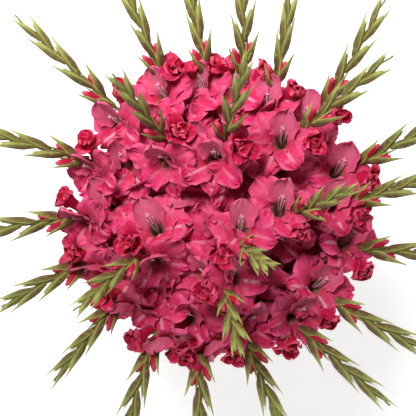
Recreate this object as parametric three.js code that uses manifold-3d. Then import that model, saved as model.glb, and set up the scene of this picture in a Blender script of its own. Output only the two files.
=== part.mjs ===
// A tied bunch of twenty-five cut gladioli, standing on its splayed stem ends.
// Millimetres, +Z up. The stems stand on z = 0 and are bound at TIE_HEIGHT in a spiral:
// every stem slants past its neighbour, so the bunch is a nest of hyperboloids at the tie.
// Above the tie each stem bends outwards into its flower spike, which carries open florets,
// opening florets, coloured buds and green bracts, in that order, up to its tip.

import * as THREE from 'three';
import { mergeVertices } from 'three/addons/utils/BufferGeometryUtils.js';
import Module from 'manifold-3d';

const wasm = await Module();
wasm.setup();

const TIE_HEIGHT = 330;
const STEM_RADIUS = 5;
const RACHIS_RADIUS = 3.4;
const NECK_GAP = 0.9;
const CLEARANCE = 0.3;

// Distances along a stem are measured upwards from the tie.
const STEM_TOP = 218;
const FIRST_FLORET = 232;
const CROWDED_FROM = 120;
const OPEN_FLORET_LENGTH = 54;
const OPEN_FLORET_RADIUS = 41;
const OPENING_FLORET_LENGTH = 58;
const OPENING_FLORET_RADIUS = 17;
const COLOURED_BUD_LENGTH = 50;
const COLOURED_BUD_RADIUS = 7.5;
const BRACT_LENGTH = 60;
const BRACT_RADIUS = 7.5;

// Each ring of stems: its radius and the slant of its stems at the tie (degrees), and its
// flowers as [heading of the tip, lean of the tip, reach of the tip beyond the tie].
const RINGS = [
  {
    waist: 7,
    slant: 7,
    flowers: [
      [80, 34, 585],
      [315, 14, 560],
    ],
  },
  {
    waist: 20,
    slant: 17,
    flowers: [
      [13, 27, 545],
      [43, 48, 590],
      [128, 35, 555],
      [213, 36, 550],
      [278, 25, 550],
    ],
  },
  {
    waist: 35,
    slant: 28,
    flowers: [
      [11, 55, 520],
      [24, 62, 565],
      [53, 64, 590],
      [73, 56, 545],
      [85, 60, 545],
      [98, 58, 550],
      [113, 60, 575],
      [136, 64, 600],
      [161, 62, 555],
      [185, 66, 555],
      [203, 68, 510],
      [225, 58, 530],
      [247, 62, 555],
      [266, 60, 545],
      [287, 54, 530],
      [312, 60, 565],
      [327, 60, 550],
      [352, 64, 560],
    ],
  },
];

// What a spike carries, from its foot to its tip. Places are shares of its flowering length,
// lean is the angle away from the rachis, roll the angle to either side of its upward face
// (degrees, left and right by turns), and shrink what each loses in size over the one below.
const CARRIED = [
  { build: openFloret, places: [0, 0.11, 0.215], lean: 62, roll: 42, shrink: 0.03 },
  { build: openingFloret, places: [0.295], lean: 36, roll: 54, shrink: 0 },
  { build: colouredBud, places: [0.37, 0.44], lean: 20, roll: 68, shrink: 0.05 },
  { build: foldedBract, places: [0.51, 0.595, 0.68, 0.76], lean: 12, roll: 78, shrink: 0.06 },
];
const RACHIS_END = 0.82;
const TIP_RADIUS = 4;

// A leaf grows from every second stem of the outermost ring, from just above the tie.
const LEAF_COUNT = 9;
const LEAF_FOOT = 58;
const LEAF_LENGTH = 270;
const LEAF_WIDTH = 21;
const LEAF_THICKNESS = 1.2;

const TIE_BAND_HEIGHT = 22;
const TIE_BAND_THICKNESS = 3.6;

const COLOURS = {
  petal: 0xd94c7c,
  stem: 0x7f9448,
  leaf: 0x587a3a,
  twine: 0xc3a272,
};

const radians = THREE.MathUtils.degToRad;
const UP = new THREE.Vector3(0, 0, 1);

/** A closed geometry as a solid that can be joined and cut. */
function solidOf(geometry) {
  const bare = geometry.clone();
  bare.deleteAttribute('normal');
  bare.deleteAttribute('uv');
  const merged = mergeVertices(bare, 1e-4);
  return new wasm.Manifold(
    new wasm.Mesh({
      numProp: 3,
      vertProperties: new Float32Array(merged.attributes.position.array),
      triVerts: new Uint32Array(merged.index.array),
    }),
  );
}

/** A solid as a named mesh with a plain material. */
function meshOf(solid, name, colour, roughness) {
  const result = solid.getMesh();
  const geometry = new THREE.BufferGeometry();
  geometry.setAttribute('position', new THREE.BufferAttribute(result.vertProperties, 3));
  geometry.setIndex(new THREE.BufferAttribute(result.triVerts, 1));
  geometry.computeVertexNormals();
  const material = new THREE.MeshStandardMaterial({ color: colour, roughness, metalness: 0 });
  const mesh = new THREE.Mesh(geometry, material);
  mesh.name = name;
  return mesh;
}

/** The biggest body of a solid, without the loose scraps that a cut leaves. */
function mainBody(solid) {
  const bodies = solid.decompose();
  return bodies.reduce((best, body) => (body.volume() > best.volume() ? body : best));
}

/** Stations every 10 mm along a stem: straight below the tie, bending out and round above it. */
function trace(ring, waistAngle, lean, reach, turn) {
  const step = 10;
  const below = Math.ceil((TIE_HEIGHT / Math.cos(radians(ring.slant)) + 20) / step);
  const above = Math.ceil(reach / step);
  const directionAt = (s) => {
    const share = Math.sin((Math.PI / 2) * THREE.MathUtils.clamp(s / reach, 0, 1));
    const tilt = radians(THREE.MathUtils.lerp(ring.slant, lean, share));
    const heading = waistAngle + Math.PI / 2 + turn * share;
    return new THREE.Vector3(
      Math.sin(tilt) * Math.cos(heading),
      Math.sin(tilt) * Math.sin(heading),
      Math.cos(tilt),
    );
  };
  const waist = new THREE.Vector3(
    ring.waist * Math.cos(waistAngle),
    ring.waist * Math.sin(waistAngle),
    TIE_HEIGHT,
  );
  const stations = [];
  for (let i = -below; i <= 0; i++) {
    const direction = directionAt(0);
    const position = waist.clone().addScaledVector(direction, i * step);
    stations.push({ s: i * step, position, direction });
  }
  for (let i = 1; i <= above; i++) {
    const middle = directionAt((i - 0.5) * step);
    const position = stations.at(-1).position.clone().addScaledVector(middle, step);
    stations.push({ s: i * step, position, direction: directionAt(i * step) });
  }
  return stations;
}

/** Turns the upper stem until its tip lies at the heading asked for. */
function aimedTrace(ring, waistAngle, [heading, lean, reach]) {
  let turn = 0;
  let stations = [];
  for (let pass = 0; pass < 12; pass++) {
    stations = trace(ring, waistAngle, lean, reach, turn);
    const tip = stations.at(-1).position;
    const miss = radians(heading) - Math.atan2(tip.y, tip.x);
    turn += Math.atan2(Math.sin(miss), Math.cos(miss));
  }
  return stations;
}

/** Position, direction, face (the upward side) and flank of a stem at a distance above the tie. */
function frameAt(stations, s) {
  const first = stations[0].s;
  const place = THREE.MathUtils.clamp((s - first) / 10, 0, stations.length - 1.001);
  const lower = stations[Math.floor(place)];
  const upper = stations[Math.floor(place) + 1];
  const share = place - Math.floor(place);
  const position = lower.position.clone().lerp(upper.position, share);
  const direction = lower.direction.clone().lerp(upper.direction, share).normalize();
  const face = UP.clone().addScaledVector(direction, -direction.z).normalize();
  const flank = new THREE.Vector3().crossVectors(direction, face);
  return { position, direction, face, flank };
}

/** A tube of a regular section along the stem between two distances from the tie. */
function tubeAlong(stations, from, to, radius, sides, steps) {
  const knots = [];
  for (let i = 0; i <= steps; i++) {
    knots.push(frameAt(stations, THREE.MathUtils.lerp(from, to, i / steps)).position);
  }
  const section = new THREE.Shape();
  for (let i = 0; i < sides; i++) {
    const angle = (2 * Math.PI * i) / sides;
    const corner = [radius * Math.cos(angle), radius * Math.sin(angle)];
    if (i === 0) {
      section.moveTo(...corner);
    } else {
      section.lineTo(...corner);
    }
  }
  return new THREE.ExtrudeGeometry(section, {
    steps,
    bevelEnabled: false,
    extrudePath: new THREE.CatmullRomCurve3(knots),
  });
}

/** A turned profile of [radius, height] pairs, with its axis laid along +Z. */
function turned(profile, sides) {
  const points = profile.map(([radius, height]) => new THREE.Vector2(radius, height));
  return new THREE.LatheGeometry(points, sides).rotateX(Math.PI / 2);
}

/** An open floret: a narrow tube that flares into a six-cornered mouth around a deep throat. */
function openFloret(size) {
  const length = OPEN_FLORET_LENGTH * size;
  const radius = OPEN_FLORET_RADIUS * size;
  const profile = [
    [0, 0],
    [0.17 * radius, 0.42 * length],
    [radius, length],
    [0, 0.62 * length],
  ];
  return turned(profile, 6);
}

/** An opening floret: rolled petals that stand up in a cup. */
function openingFloret(size) {
  const length = OPENING_FLORET_LENGTH * size;
  const radius = OPENING_FLORET_RADIUS * size;
  const profile = [
    [0, 0],
    [radius, 0.85 * length],
    [0, 0.97 * length],
  ];
  return turned(profile, 5);
}

/** A spindle with its widest girth low down. */
function spindle(length, radius) {
  const profile = [
    [0, 0],
    [radius, 0.36 * length],
    [0, length],
  ];
  return turned(profile, 4);
}

/** A closed bud that already shows its colour. */
function colouredBud(size) {
  return spindle(COLOURED_BUD_LENGTH * size, COLOURED_BUD_RADIUS * size);
}

/** A green bract folded round its bud. */
function foldedBract(size) {
  return spindle(BRACT_LENGTH * size, BRACT_RADIUS * size);
}

/** Sets a geometry on a stem, leaning away from it and rolled round it from its face. */
function setOn(geometry, frame, leanAway, roll) {
  const side = frame.face
    .clone()
    .multiplyScalar(Math.cos(roll))
    .addScaledVector(frame.flank, Math.sin(roll));
  const axis = frame.direction
    .clone()
    .multiplyScalar(Math.cos(leanAway))
    .addScaledVector(side, Math.sin(leanAway));
  const across = new THREE.Vector3().crossVectors(axis, side).normalize();
  const outward = new THREE.Vector3().crossVectors(across, axis);
  const basis = new THREE.Matrix4().makeBasis(outward, across, axis);
  basis.setPosition(frame.position);
  return geometry.applyMatrix4(basis);
}

/** One whole flower spike: its rachis joined with all that it carries. */
function flowerSpike(stations, reach) {
  const flowering = reach - FIRST_FLORET;
  const rachisEnd = FIRST_FLORET + RACHIS_END * flowering;
  const rachisStart = STEM_TOP + NECK_GAP;
  const pieces = [tubeAlong(stations, rachisStart, rachisEnd, RACHIS_RADIUS, 4, 4)];
  for (const { build, places, lean, roll, shrink } of CARRIED) {
    places.forEach((place, i) => {
      const frame = frameAt(stations, FIRST_FLORET + place * flowering);
      const side = i % 2 ? 1 : -1;
      pieces.push(setOn(build(1 - shrink * i), frame, radians(lean), side * radians(roll)));
    });
  }
  const tip = frameAt(stations, rachisEnd - TIP_RADIUS);
  pieces.push(setOn(spindle(reach - rachisEnd + TIP_RADIUS, TIP_RADIUS), tip, 0, 0));
  return wasm.Manifold.union(pieces.map(solidOf));
}

/**
 * The plane halfway across the widest straight gap between two stems above the tie. It steps
 * towards the shortest vector from the hull of one stem's points to the hull of the other's.
 */
function planeBetween(one, other) {
  const span = (stations) =>
    stations.filter(({ s }) => s >= CROWDED_FROM).map(({ position }) => position);
  const near = span(one);
  const far = span(other);
  const furthest = (points, direction) =>
    points.reduce((best, point) => (point.dot(direction) > best.dot(direction) ? point : best));
  const apart = new THREE.Vector3().subVectors(far.at(0), near.at(0));
  for (let pass = 0; pass < 400; pass++) {
    const back = apart.clone().negate();
    const reachOut = furthest(far, back).clone().sub(furthest(near, apart));
    const change = new THREE.Vector3().subVectors(reachOut, apart);
    if (change.lengthSq() < 1e-9) {
      break;
    }
    const share = THREE.MathUtils.clamp(-apart.dot(change) / change.lengthSq(), 0, 1);
    apart.addScaledVector(change, share);
  }
  const normal = apart.clone().normalize();
  const nearEdge = furthest(near, normal).dot(normal);
  const farEdge = furthest(far, normal.clone().negate()).dot(normal);
  return { normal, offset: (nearEdge + farEdge) / 2 };
}

/** A sword leaf in the plane of its stem and the outward direction, arching away from the stem. */
function swordLeaf(stations, from, length) {
  const { position, direction } = frameAt(stations, from);
  const outward = new THREE.Vector3(position.x, position.y, 0);
  outward.addScaledVector(direction, -outward.dot(direction)).normalize();
  const arch = (share) => 0.1 * length * share + 0.3 * length * share * share;
  const width = (share) => LEAF_WIDTH * (0.35 + 1.9 * share * (1 - share)) * Math.sqrt(1 - share);
  const inner = [];
  const outer = [];
  const steps = 9;
  for (let i = 0; i <= steps; i++) {
    const share = i / steps;
    const edge = STEM_RADIUS + 1 + arch(share);
    inner.push([edge, share * length]);
    if (i < steps) {
      outer.unshift([edge + width(share), share * length - 0.25 * width(share)]);
    }
  }
  const outline = new THREE.Shape([...inner, ...outer].map(([x, y]) => new THREE.Vector2(x, y)));
  const blade = new THREE.ExtrudeGeometry(outline, { depth: LEAF_THICKNESS, bevelEnabled: false });
  blade.translate(0, 0, -LEAF_THICKNESS / 2);
  const across = new THREE.Vector3().crossVectors(outward, direction);
  const basis = new THREE.Matrix4().makeBasis(outward, direction, across);
  basis.setPosition(position);
  return blade.applyMatrix4(basis);
}

/** The band of twine round the waist of the outermost ring. */
function tieBand(ring) {
  const half = TIE_BAND_HEIGHT / 2;
  const flare = Math.hypot(ring.waist, half * Math.tan(radians(ring.slant)));
  const inside = flare + STEM_RADIUS + 0.8;
  const outside = inside + TIE_BAND_THICKNESS;
  const profile = [
    [inside, -half],
    [outside - 1.2, -half],
    [outside, -half + 2],
    [outside, half - 2],
    [outside - 1.2, half],
    [inside, half],
    [inside, -half],
  ];
  return turned(profile, 28).translate(0, 0, TIE_HEIGHT);
}

const number = (index) => String(index).padStart(2, '0');
const flowers = [];
for (const ring of RINGS) {
  const count = ring.flowers.length;
  const pitch = (2 * Math.PI) / count;
  const drift = ring.flowers.map(([heading], i) => radians(heading) - pitch * i);
  const start = drift.reduce((sum, value) => sum + value, 0) / count - Math.PI / 2;
  ring.flowers.forEach((flower, i) => {
    const stations = aimedTrace(ring, start + pitch * i, flower);
    flowers.push({ stations, reach: flower[2], name: number(flowers.length + 1) });
  });
}

const group = new THREE.Group();
group.name = 'cut_gladioli';

for (const { stations, name } of flowers) {
  const tube = solidOf(tubeAlong(stations, stations[0].s, STEM_TOP, STEM_RADIUS, 6, 7));
  const stem = tube.trimByPlane([0, 0, 1], 0);
  group.add(meshOf(stem, `stem_${name}`, COLOURS.stem, 0.55));
}

for (const flower of flowers) {
  let spike = flowerSpike(flower.stations, flower.reach);
  for (const other of flowers) {
    if (other !== flower) {
      const { normal, offset } = planeBetween(flower.stations, other.stations);
      spike = spike.trimByPlane(normal.clone().negate().toArray(), -(offset - CLEARANCE / 2));
    }
  }
  group.add(meshOf(mainBody(spike), `spike_${flower.name}`, COLOURS.petal, 0.5));
}

const outerRing = RINGS.at(-1);
const outerFlowers = flowers.slice(-outerRing.flowers.length);
for (let i = 0; i < LEAF_COUNT; i++) {
  const { stations } = outerFlowers[2 * i];
  const from = LEAF_FOOT + 12 * (i % 3);
  const leaf = solidOf(swordLeaf(stations, from, LEAF_LENGTH * (1 - 0.07 * (i % 4))));
  group.add(meshOf(leaf, `leaf_${number(i + 1)}`, COLOURS.leaf, 0.5));
}

group.add(meshOf(solidOf(tieBand(outerRing)), 'binding', COLOURS.twine, 0.85));

// The frame's origin is the middle of the bunch's outer box, on the surface it stands on.
group.updateMatrixWorld(true);
const middle = new THREE.Box3().setFromObject(group, true).getCenter(new THREE.Vector3());
group.position.set(-middle.x, -middle.y, 0);

export default group;
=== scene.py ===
"""A spiral-tied bunch of cut gladioli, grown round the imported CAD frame.

The frame gives every stem's centre line, every spike's tip, the leaves and the binding. The
pieces made here are the petals, buds, bracts, stems, leaves and twine that those solids stand for.
Lengths are metres, and sizes that a grower would quote are named in millimetres.
"""

import math

import bpy
import numpy as np
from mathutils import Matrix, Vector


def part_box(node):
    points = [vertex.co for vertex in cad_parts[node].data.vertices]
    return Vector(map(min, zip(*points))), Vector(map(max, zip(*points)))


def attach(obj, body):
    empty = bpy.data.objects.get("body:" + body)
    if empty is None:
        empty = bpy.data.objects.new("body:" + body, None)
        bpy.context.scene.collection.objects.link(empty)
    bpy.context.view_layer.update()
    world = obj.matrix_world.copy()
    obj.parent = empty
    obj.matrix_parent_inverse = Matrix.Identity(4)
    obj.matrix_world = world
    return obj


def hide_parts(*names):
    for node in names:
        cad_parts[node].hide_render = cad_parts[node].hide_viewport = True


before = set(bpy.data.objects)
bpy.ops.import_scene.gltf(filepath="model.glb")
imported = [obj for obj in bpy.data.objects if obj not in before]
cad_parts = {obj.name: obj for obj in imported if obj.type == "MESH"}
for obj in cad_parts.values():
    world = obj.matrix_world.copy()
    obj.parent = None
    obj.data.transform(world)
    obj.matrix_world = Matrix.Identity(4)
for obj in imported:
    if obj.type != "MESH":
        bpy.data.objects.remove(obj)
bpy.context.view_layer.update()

bl_info = {
    "name": "Cut gladioli",
    "version": (1, 0, 0),
    "blender": (4, 5, 0),
    "location": "View3D > Sidebar > Gladioli",
    "description": "Builds a tied bunch of cut gladioli round its CAD frame",
    "category": "Add Mesh",
}

MM = 0.001
UP = np.array([0.0, 0.0, 1.0])
NORTH = np.array([0.0, 1.0, 0.0])
EAST = np.array([1.0, 0.0, 0.0])
SEED = 11

OPEN_AROUND = np.radians([0, 62, -62, 121, -121, 180])
PETAL_THICKNESS = 0.5 * MM
BRACT_THICKNESS = 0.7 * MM
LEAF_THICKNESS = 0.9 * MM
SHARP_ANGLE = math.radians(75)  # keeps the thin rims of petals from shading dark
PALE_TINT = (1, 0.75, 0.85)
POST_GIRTH = 9 * MM  # room that the rachis keeps clear of florets
PUSH = 0.22  # share of an overlap that florets give way at each round
SPRING = 0.11  # pull of each floret back towards the way it grew
RISE = 0.5  # how far an open floret turns up to the light
DROOP = 0.32  # how far an open floret turns to the south
HOOD_NORTH = 1.1  # how strongly the hoods stand on the north side
TWINE_TURNS = 6
CAMERA_CENTRE = (-0.015, 0.011)
KEY_PLACE = (-0.5, 0.95, 2.45)
KEY_TURN = (math.radians(-22), 0, math.radians(34))
KEY_CONE = math.radians(46)
KEY_SOFTNESS = 0.4

STEM_NODES = sorted(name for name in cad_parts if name.startswith("stem_"))
SPIKE_NODES = sorted(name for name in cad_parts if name.startswith("spike_"))
LEAF_NODES = sorted(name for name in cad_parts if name.startswith("leaf_"))

# What a spike carries, from its foot to its tip. Places are shares of its flowering length,
# leans are the angles away from the rachis and rolls the angles to either side of the spike's
# upward face, both in degrees. Sizes are shares of the full size.
NECK = 14 * MM
OPEN = {
    "places": (0.0, 0.11, 0.215),
    "leans": (72, 62, 45),
    "rolls": (30, 42, 58),
    "sizes": (1.1, 1.1, 1.04),
}
OPENING = {"places": (0.295,), "leans": (36,), "rolls": (54,), "sizes": (1.1,)}
COLOURED = {"places": (0.37, 0.44), "leans": (17, 14), "rolls": (66, 70), "sizes": (1.0, 0.98)}
GREEN = {
    "places": (0.51, 0.595, 0.68, 0.76, 0.83),
    "leans": (11, 10, 9, 8, 5),
    "rolls": (76, 78, 80, 82, 82),
    "sizes": (1.0, 0.99, 0.96, 0.88, 0.74),
}


# ---------------------------------------------------------------- numbers and vectors


def linear(code):
    """A colour written as sRGB hex, as linear red, green and blue."""
    channels = np.array([int(code[i : i + 2], 16) for i in (1, 3, 5)]) / 255
    low = channels / 12.92
    high = ((channels + 0.055) / 1.055) ** 2.4
    return tuple(float(c) for c in np.where(channels <= 0.04045, low, high))


def unit(vectors):
    """Vectors divided by their lengths."""
    return vectors / np.maximum(np.linalg.norm(vectors, axis=-1, keepdims=True), 1e-12)


def ease(values, start, end):
    """0 before start, 1 after end, and the smooth cubic 3t^2 - 2t^3 between them."""
    t = np.clip((values - start) / (end - start), 0, 1)
    return t * t * (3 - 2 * t)


def spread(rng, count, amount):
    """count numbers drawn evenly between -amount and amount."""
    return rng.uniform(-amount, amount, count)


# ---------------------------------------------------------------- reading the frame


def node_points(name):
    """The distinct vertices of a CAD node, in metres."""
    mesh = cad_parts[name].data
    flat = np.empty(3 * len(mesh.vertices))
    mesh.vertices.foreach_get("co", flat)
    return np.unique(np.round(flat.reshape(-1, 3), 6), axis=0)


def tie_middle():
    """The middle of the binding, where every stem passes."""
    low, high = (np.array(corner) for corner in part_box("binding"))
    return (low + high) / 2


def stem_line(name, count):
    """count points along a stem's centre, and the directions there.

    The CAD stem is a tube of six-sided rings, cut level with the ground. Its vertices sorted by
    height fall into those rings, and their middles are joined by a fourth-degree curve in the
    share of the way along.
    """
    points = node_points(name)
    points = points[np.argsort(points[:, 2])]
    ground = points[:, 2] < 1 * MM
    rings = points[~ground].reshape(-1, 6, 3).mean(axis=1)
    middles = np.vstack([points[ground].mean(axis=0), rings])
    steps = np.linalg.norm(np.diff(middles, axis=0), axis=1)
    share = np.concatenate([[0], np.cumsum(steps)]) / steps.sum()
    curve = np.polyfit(share, middles, 4)
    place = np.linspace(0, 1, count)
    powers = np.arange(4, -1, -1)
    line = (place[:, None] ** powers) @ curve
    slope = (powers[:-1] * place[:, None] ** (powers[:-1] - 1)) @ curve[:-1]
    return line, unit(slope)


class Spikes:
    """The centre lines of all the flower spikes, as arcs of circles.

    An arc leaves the top of its stem in the stem's direction and ends at the furthest vertex of
    its CAD spike. With chord c at the angle a from that direction, its radius is c / (2 sin a)
    and it turns through 2a.
    """

    def __init__(self):
        tie = tie_middle()
        lines = [stem_line(name, 40) for name in STEM_NODES]
        self.foot = np.array([line[-1] for line, _ in lines])
        self.start = np.array([slope[-1] for _, slope in lines])
        tips = []
        for name in SPIKE_NODES:
            points = node_points(name)
            tips.append(points[np.argmax(np.linalg.norm(points - tie, axis=1))])
        chord = np.array(tips) - self.foot
        reach = np.linalg.norm(chord, axis=1)
        angle = np.arccos(np.clip(np.sum(unit(chord) * self.start, axis=1), -1, 0.99999))
        sideways = chord - np.sum(chord * self.start, axis=1, keepdims=True) * self.start
        self.bend = unit(sideways)
        self.turn = 2 * angle
        self.radius = reach / (2 * np.sin(angle))
        self.length = self.radius * self.turn

    def at(self, shares):
        """Points and directions at shares (spikes, k) of each arc: r sin, r (1 - cos)."""
        swing = (self.turn[:, None] * shares)[..., None]
        start, bend = self.start[:, None], self.bend[:, None]
        out = np.sin(swing) * start + (1 - np.cos(swing)) * bend
        points = self.foot[:, None] + self.radius[:, None, None] * out
        return points, np.cos(swing) * start + np.sin(swing) * bend

    def shares(self, places):
        """Shares of each arc at places along its flowering length, which starts past the neck."""
        neck = (NECK / self.length)[:, None]
        return neck + (1 - neck) * np.asarray(places)[None]


# ---------------------------------------------------------------- mesh building


class Solid:
    """Points and faces gathered from many grids, with a UV map and a shade for each."""

    def __init__(self):
        self.points, self.shades, self.faces, self.uvs, self.slots = [], [], [], [], []
        self.count = 0

    def add(self, points, faces, uvs, slot, shade):
        """Adds grids (n, p, 3) that share a pattern of faces (m, k) and corner UVs (m, k, 2)."""
        grids, size = points.shape[:2]
        first = self.count + size * np.arange(grids)
        self.points.append(points.reshape(-1, 3))
        shade = np.broadcast_to(np.asarray(shade, float).reshape(-1, 1, 3), (grids, size, 3))
        self.shades.append(shade.reshape(-1, 3))
        self.faces.append((faces[None] + first[:, None, None]).reshape(-1, faces.shape[1]))
        self.uvs.append(np.broadcast_to(uvs, (grids,) + uvs.shape).reshape(-1, 2))
        self.slots.append(np.full(grids * len(faces), slot))
        self.count += grids * size

    def build(self, name, materials, node_names):
        """Makes the piece, which stands for CAD nodes and takes the materials it is given."""
        mesh = bpy.data.meshes.new(name)
        points = np.concatenate(self.points)
        corners = np.concatenate([faces.ravel() for faces in self.faces])
        sizes = np.concatenate([np.full(len(faces), faces.shape[1]) for faces in self.faces])
        mesh.vertices.add(len(points))
        mesh.loops.add(len(corners))
        mesh.polygons.add(len(sizes))
        mesh.vertices.foreach_set("co", points.ravel())
        mesh.loops.foreach_set("vertex_index", corners)
        mesh.polygons.foreach_set("loop_start", np.concatenate([[0], np.cumsum(sizes)[:-1]]))
        mesh.polygons.foreach_set("material_index", np.concatenate(self.slots))
        mesh.update(calc_edges=True)
        growth = mesh.uv_layers.new(name="growth")
        growth.data.foreach_set("uv", np.concatenate(self.uvs).ravel())
        shade = mesh.attributes.new("shade", "FLOAT_COLOR", "POINT")
        shades = np.concatenate(self.shades)
        opaque = np.column_stack([shades, np.ones(len(shades))])
        shade.data.foreach_set("color", opaque.ravel())
        mesh.shade_smooth()
        mesh.set_sharp_from_angle(angle=SHARP_ANGLE)
        for material in materials:
            mesh.materials.append(material)
        piece = bpy.data.objects.new(name, mesh)
        bpy.context.scene.collection.objects.link(piece)
        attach(piece, "root")
        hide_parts(*node_names)


def sheet_pattern(rows, columns):
    """Faces and corner UVs of a thin sheet with two sides that share their edge.

    The front is a rows by columns grid. The back has points of its own inside the edge only, so
    the sheet closes on itself all round.
    """
    front = np.arange(rows * columns).reshape(rows, columns)
    back = front.copy()
    inside = (rows - 2) * (columns - 2)
    back[1:-1, 1:-1] = rows * columns + np.arange(inside).reshape(rows - 2, columns - 2)
    quads = []
    for grid, turn in ((front, 1), (back, -1)):
        corners = [grid[:-1, :-1], grid[:-1, 1:], grid[1:, 1:], grid[1:, :-1]]
        quads.append(np.stack(corners[::turn], axis=-1).reshape(-1, 4))
    faces = np.concatenate(quads)
    across, along = np.meshgrid(np.linspace(0, 1, columns), np.linspace(0, 1, rows))
    places = np.stack([across, along], axis=-1)
    places = np.concatenate([places.reshape(-1, 2), places[1:-1, 1:-1].reshape(-1, 2)])
    return faces, places[faces]


def sheet_points(front, thickness):
    """Both sides of sheets (n, rows, columns, 3): the back lies a thickness behind the front."""
    along = np.gradient(front, axis=1)
    across = np.gradient(front, axis=2)
    behind = front - unit(np.cross(across, along)) * thickness
    grids = len(front)
    inner = behind[:, 1:-1, 1:-1].reshape(grids, -1, 3)
    return np.concatenate([front.reshape(grids, -1, 3), inner], axis=1)


def tube_pattern(rings, sides):
    """Faces and corner UVs of a tube of rings, without its ends."""
    around = np.arange(sides)
    ring = np.arange(rings - 1)[:, None]
    here, there = ring * sides + around, ring * sides + (around + 1) % sides
    faces = np.stack([here, there, there + sides, here + sides], axis=-1).reshape(-1, 4)
    across = np.stack([around, around + 1, around + 1, around], axis=-1) / sides
    across = np.broadcast_to(across, (rings - 1, sides, 4))
    along = np.stack([ring, ring, ring + 1, ring + 1], axis=-1) / (rings - 1)
    along = np.broadcast_to(along, (rings - 1, sides, 4))
    return faces, np.stack([across, along], axis=-1).reshape(-1, 4, 2)


def tube_points(paths, radii, sides, reference, section=None):
    """Rings round paths (n, rings, 3) with radii (n, rings), as (n, rings * sides, 3).

    Each ring lies square to its path, and is turned so that its first point faces the
    reference direction. section (rings, sides) multiplies the radius all the way round.
    """
    tangent = unit(np.gradient(paths, axis=1))
    second = unit(np.cross(tangent, reference))
    first = np.cross(second, tangent)
    angle = 2 * math.pi * np.arange(sides) / sides
    wide = radii[..., None] * (1.0 if section is None else section)
    cosine, sine = np.cos(angle) * wide, np.sin(angle) * wide
    round_it = first[:, :, None] * cosine[..., None] + second[:, :, None] * sine[..., None]
    return (paths[:, :, None] + round_it).reshape(len(paths), -1, 3)


def add_tubes(solid, paths, radii, sides, reference, slot, shade=(0, 0, 0), section=None):
    """Adds closed tubes to a solid, with a flat face on each end."""
    rings = paths.shape[1]
    points = tube_points(paths, radii, sides, reference, section)
    faces, uvs = tube_pattern(rings, sides)
    solid.add(points, faces, uvs, slot, shade)
    ring = np.arange(sides)
    caps = np.stack([ring[::-1], (rings - 1) * sides + ring])
    solid.faces.append(
        (caps[None] + (solid.count - points.shape[1] * np.arange(len(points), 0, -1))[:, None, None])
        .reshape(-1, sides)
    )
    ends = np.broadcast_to(np.array([[0.5, 0.0], [0.5, 1.0]])[:, None], (2, sides, 2))
    solid.uvs.append(np.broadcast_to(ends, (len(points), 2, sides, 2)).reshape(-1, 2))
    solid.slots.append(np.full(2 * len(points), slot))


def placed(points, roots, side, across, axis):
    """Local x, y, z of grids (n, ..., 3) set out along side, across and axis (n, 3)."""
    basis = np.stack([side, across, axis], axis=1)
    shape = points.shape
    flat = points.reshape(shape[0], -1, 3) @ basis
    return (flat + roots[:, None]).reshape(shape)


# ---------------------------------------------------------------- growth of the spikes


def growth(spikes, kind, first):
    """Root, direction, axis and side of every floret or bud of one kind on every spike.

    They stand left and right by turns: the side is the spike's upward face rolled round the
    rachis, and the axis leans from the rachis towards that side. first counts the florets below.
    """
    places = kind["places"]
    points, along = spikes.at(spikes.shares(places))
    face = unit(UP - along * along[..., 2:])
    flank = np.cross(along, face)
    hand = np.where((np.arange(len(places)) + first) % 2, 1, -1)
    roll = np.radians(kind["rolls"])[None, :, None] * hand[None, :, None]
    side = np.cos(roll) * face + np.sin(roll) * flank
    lean = np.radians(kind["leans"])[None, :, None]
    axis = np.cos(lean) * along + np.sin(lean) * side
    return tuple(values.reshape(-1, 3) for values in (points, along, axis, side))


def settle(roots, axes, reach, girth, posts, rounds=70):
    """Axes of crowded florets, turned aside until their mouths no longer share space.

    Each mouth is a ball of its girth at its reach along its axis. Balls that overlap push each
    other apart along the line between them, the rachis points push them too, and each axis
    springs back a little towards the way it grew.
    """
    grown = axes
    for _ in range(rounds):
        mouths = roots + axes * reach[:, None]
        apart = mouths[:, None] - mouths[None]
        distance = np.linalg.norm(apart, axis=-1) + np.eye(len(mouths))
        overlap = np.clip(girth[:, None] + girth[None] - distance, 0, None)
        np.fill_diagonal(overlap, 0)
        push = (apart / distance[..., None] * overlap[..., None]).sum(axis=1)
        clear = mouths[:, None] - posts[None]
        far = np.linalg.norm(clear, axis=-1) + 1e-9
        press = np.clip(0.7 * girth[:, None] + POST_GIRTH - far, 0, None)
        push += 0.6 * (clear / far[..., None] * press[..., None]).sum(axis=1)
        axes = unit(mouths + PUSH * push - roots)
        axes = unit(axes + SPRING * grown)
    return axes


# ---------------------------------------------------------------- petals


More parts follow.
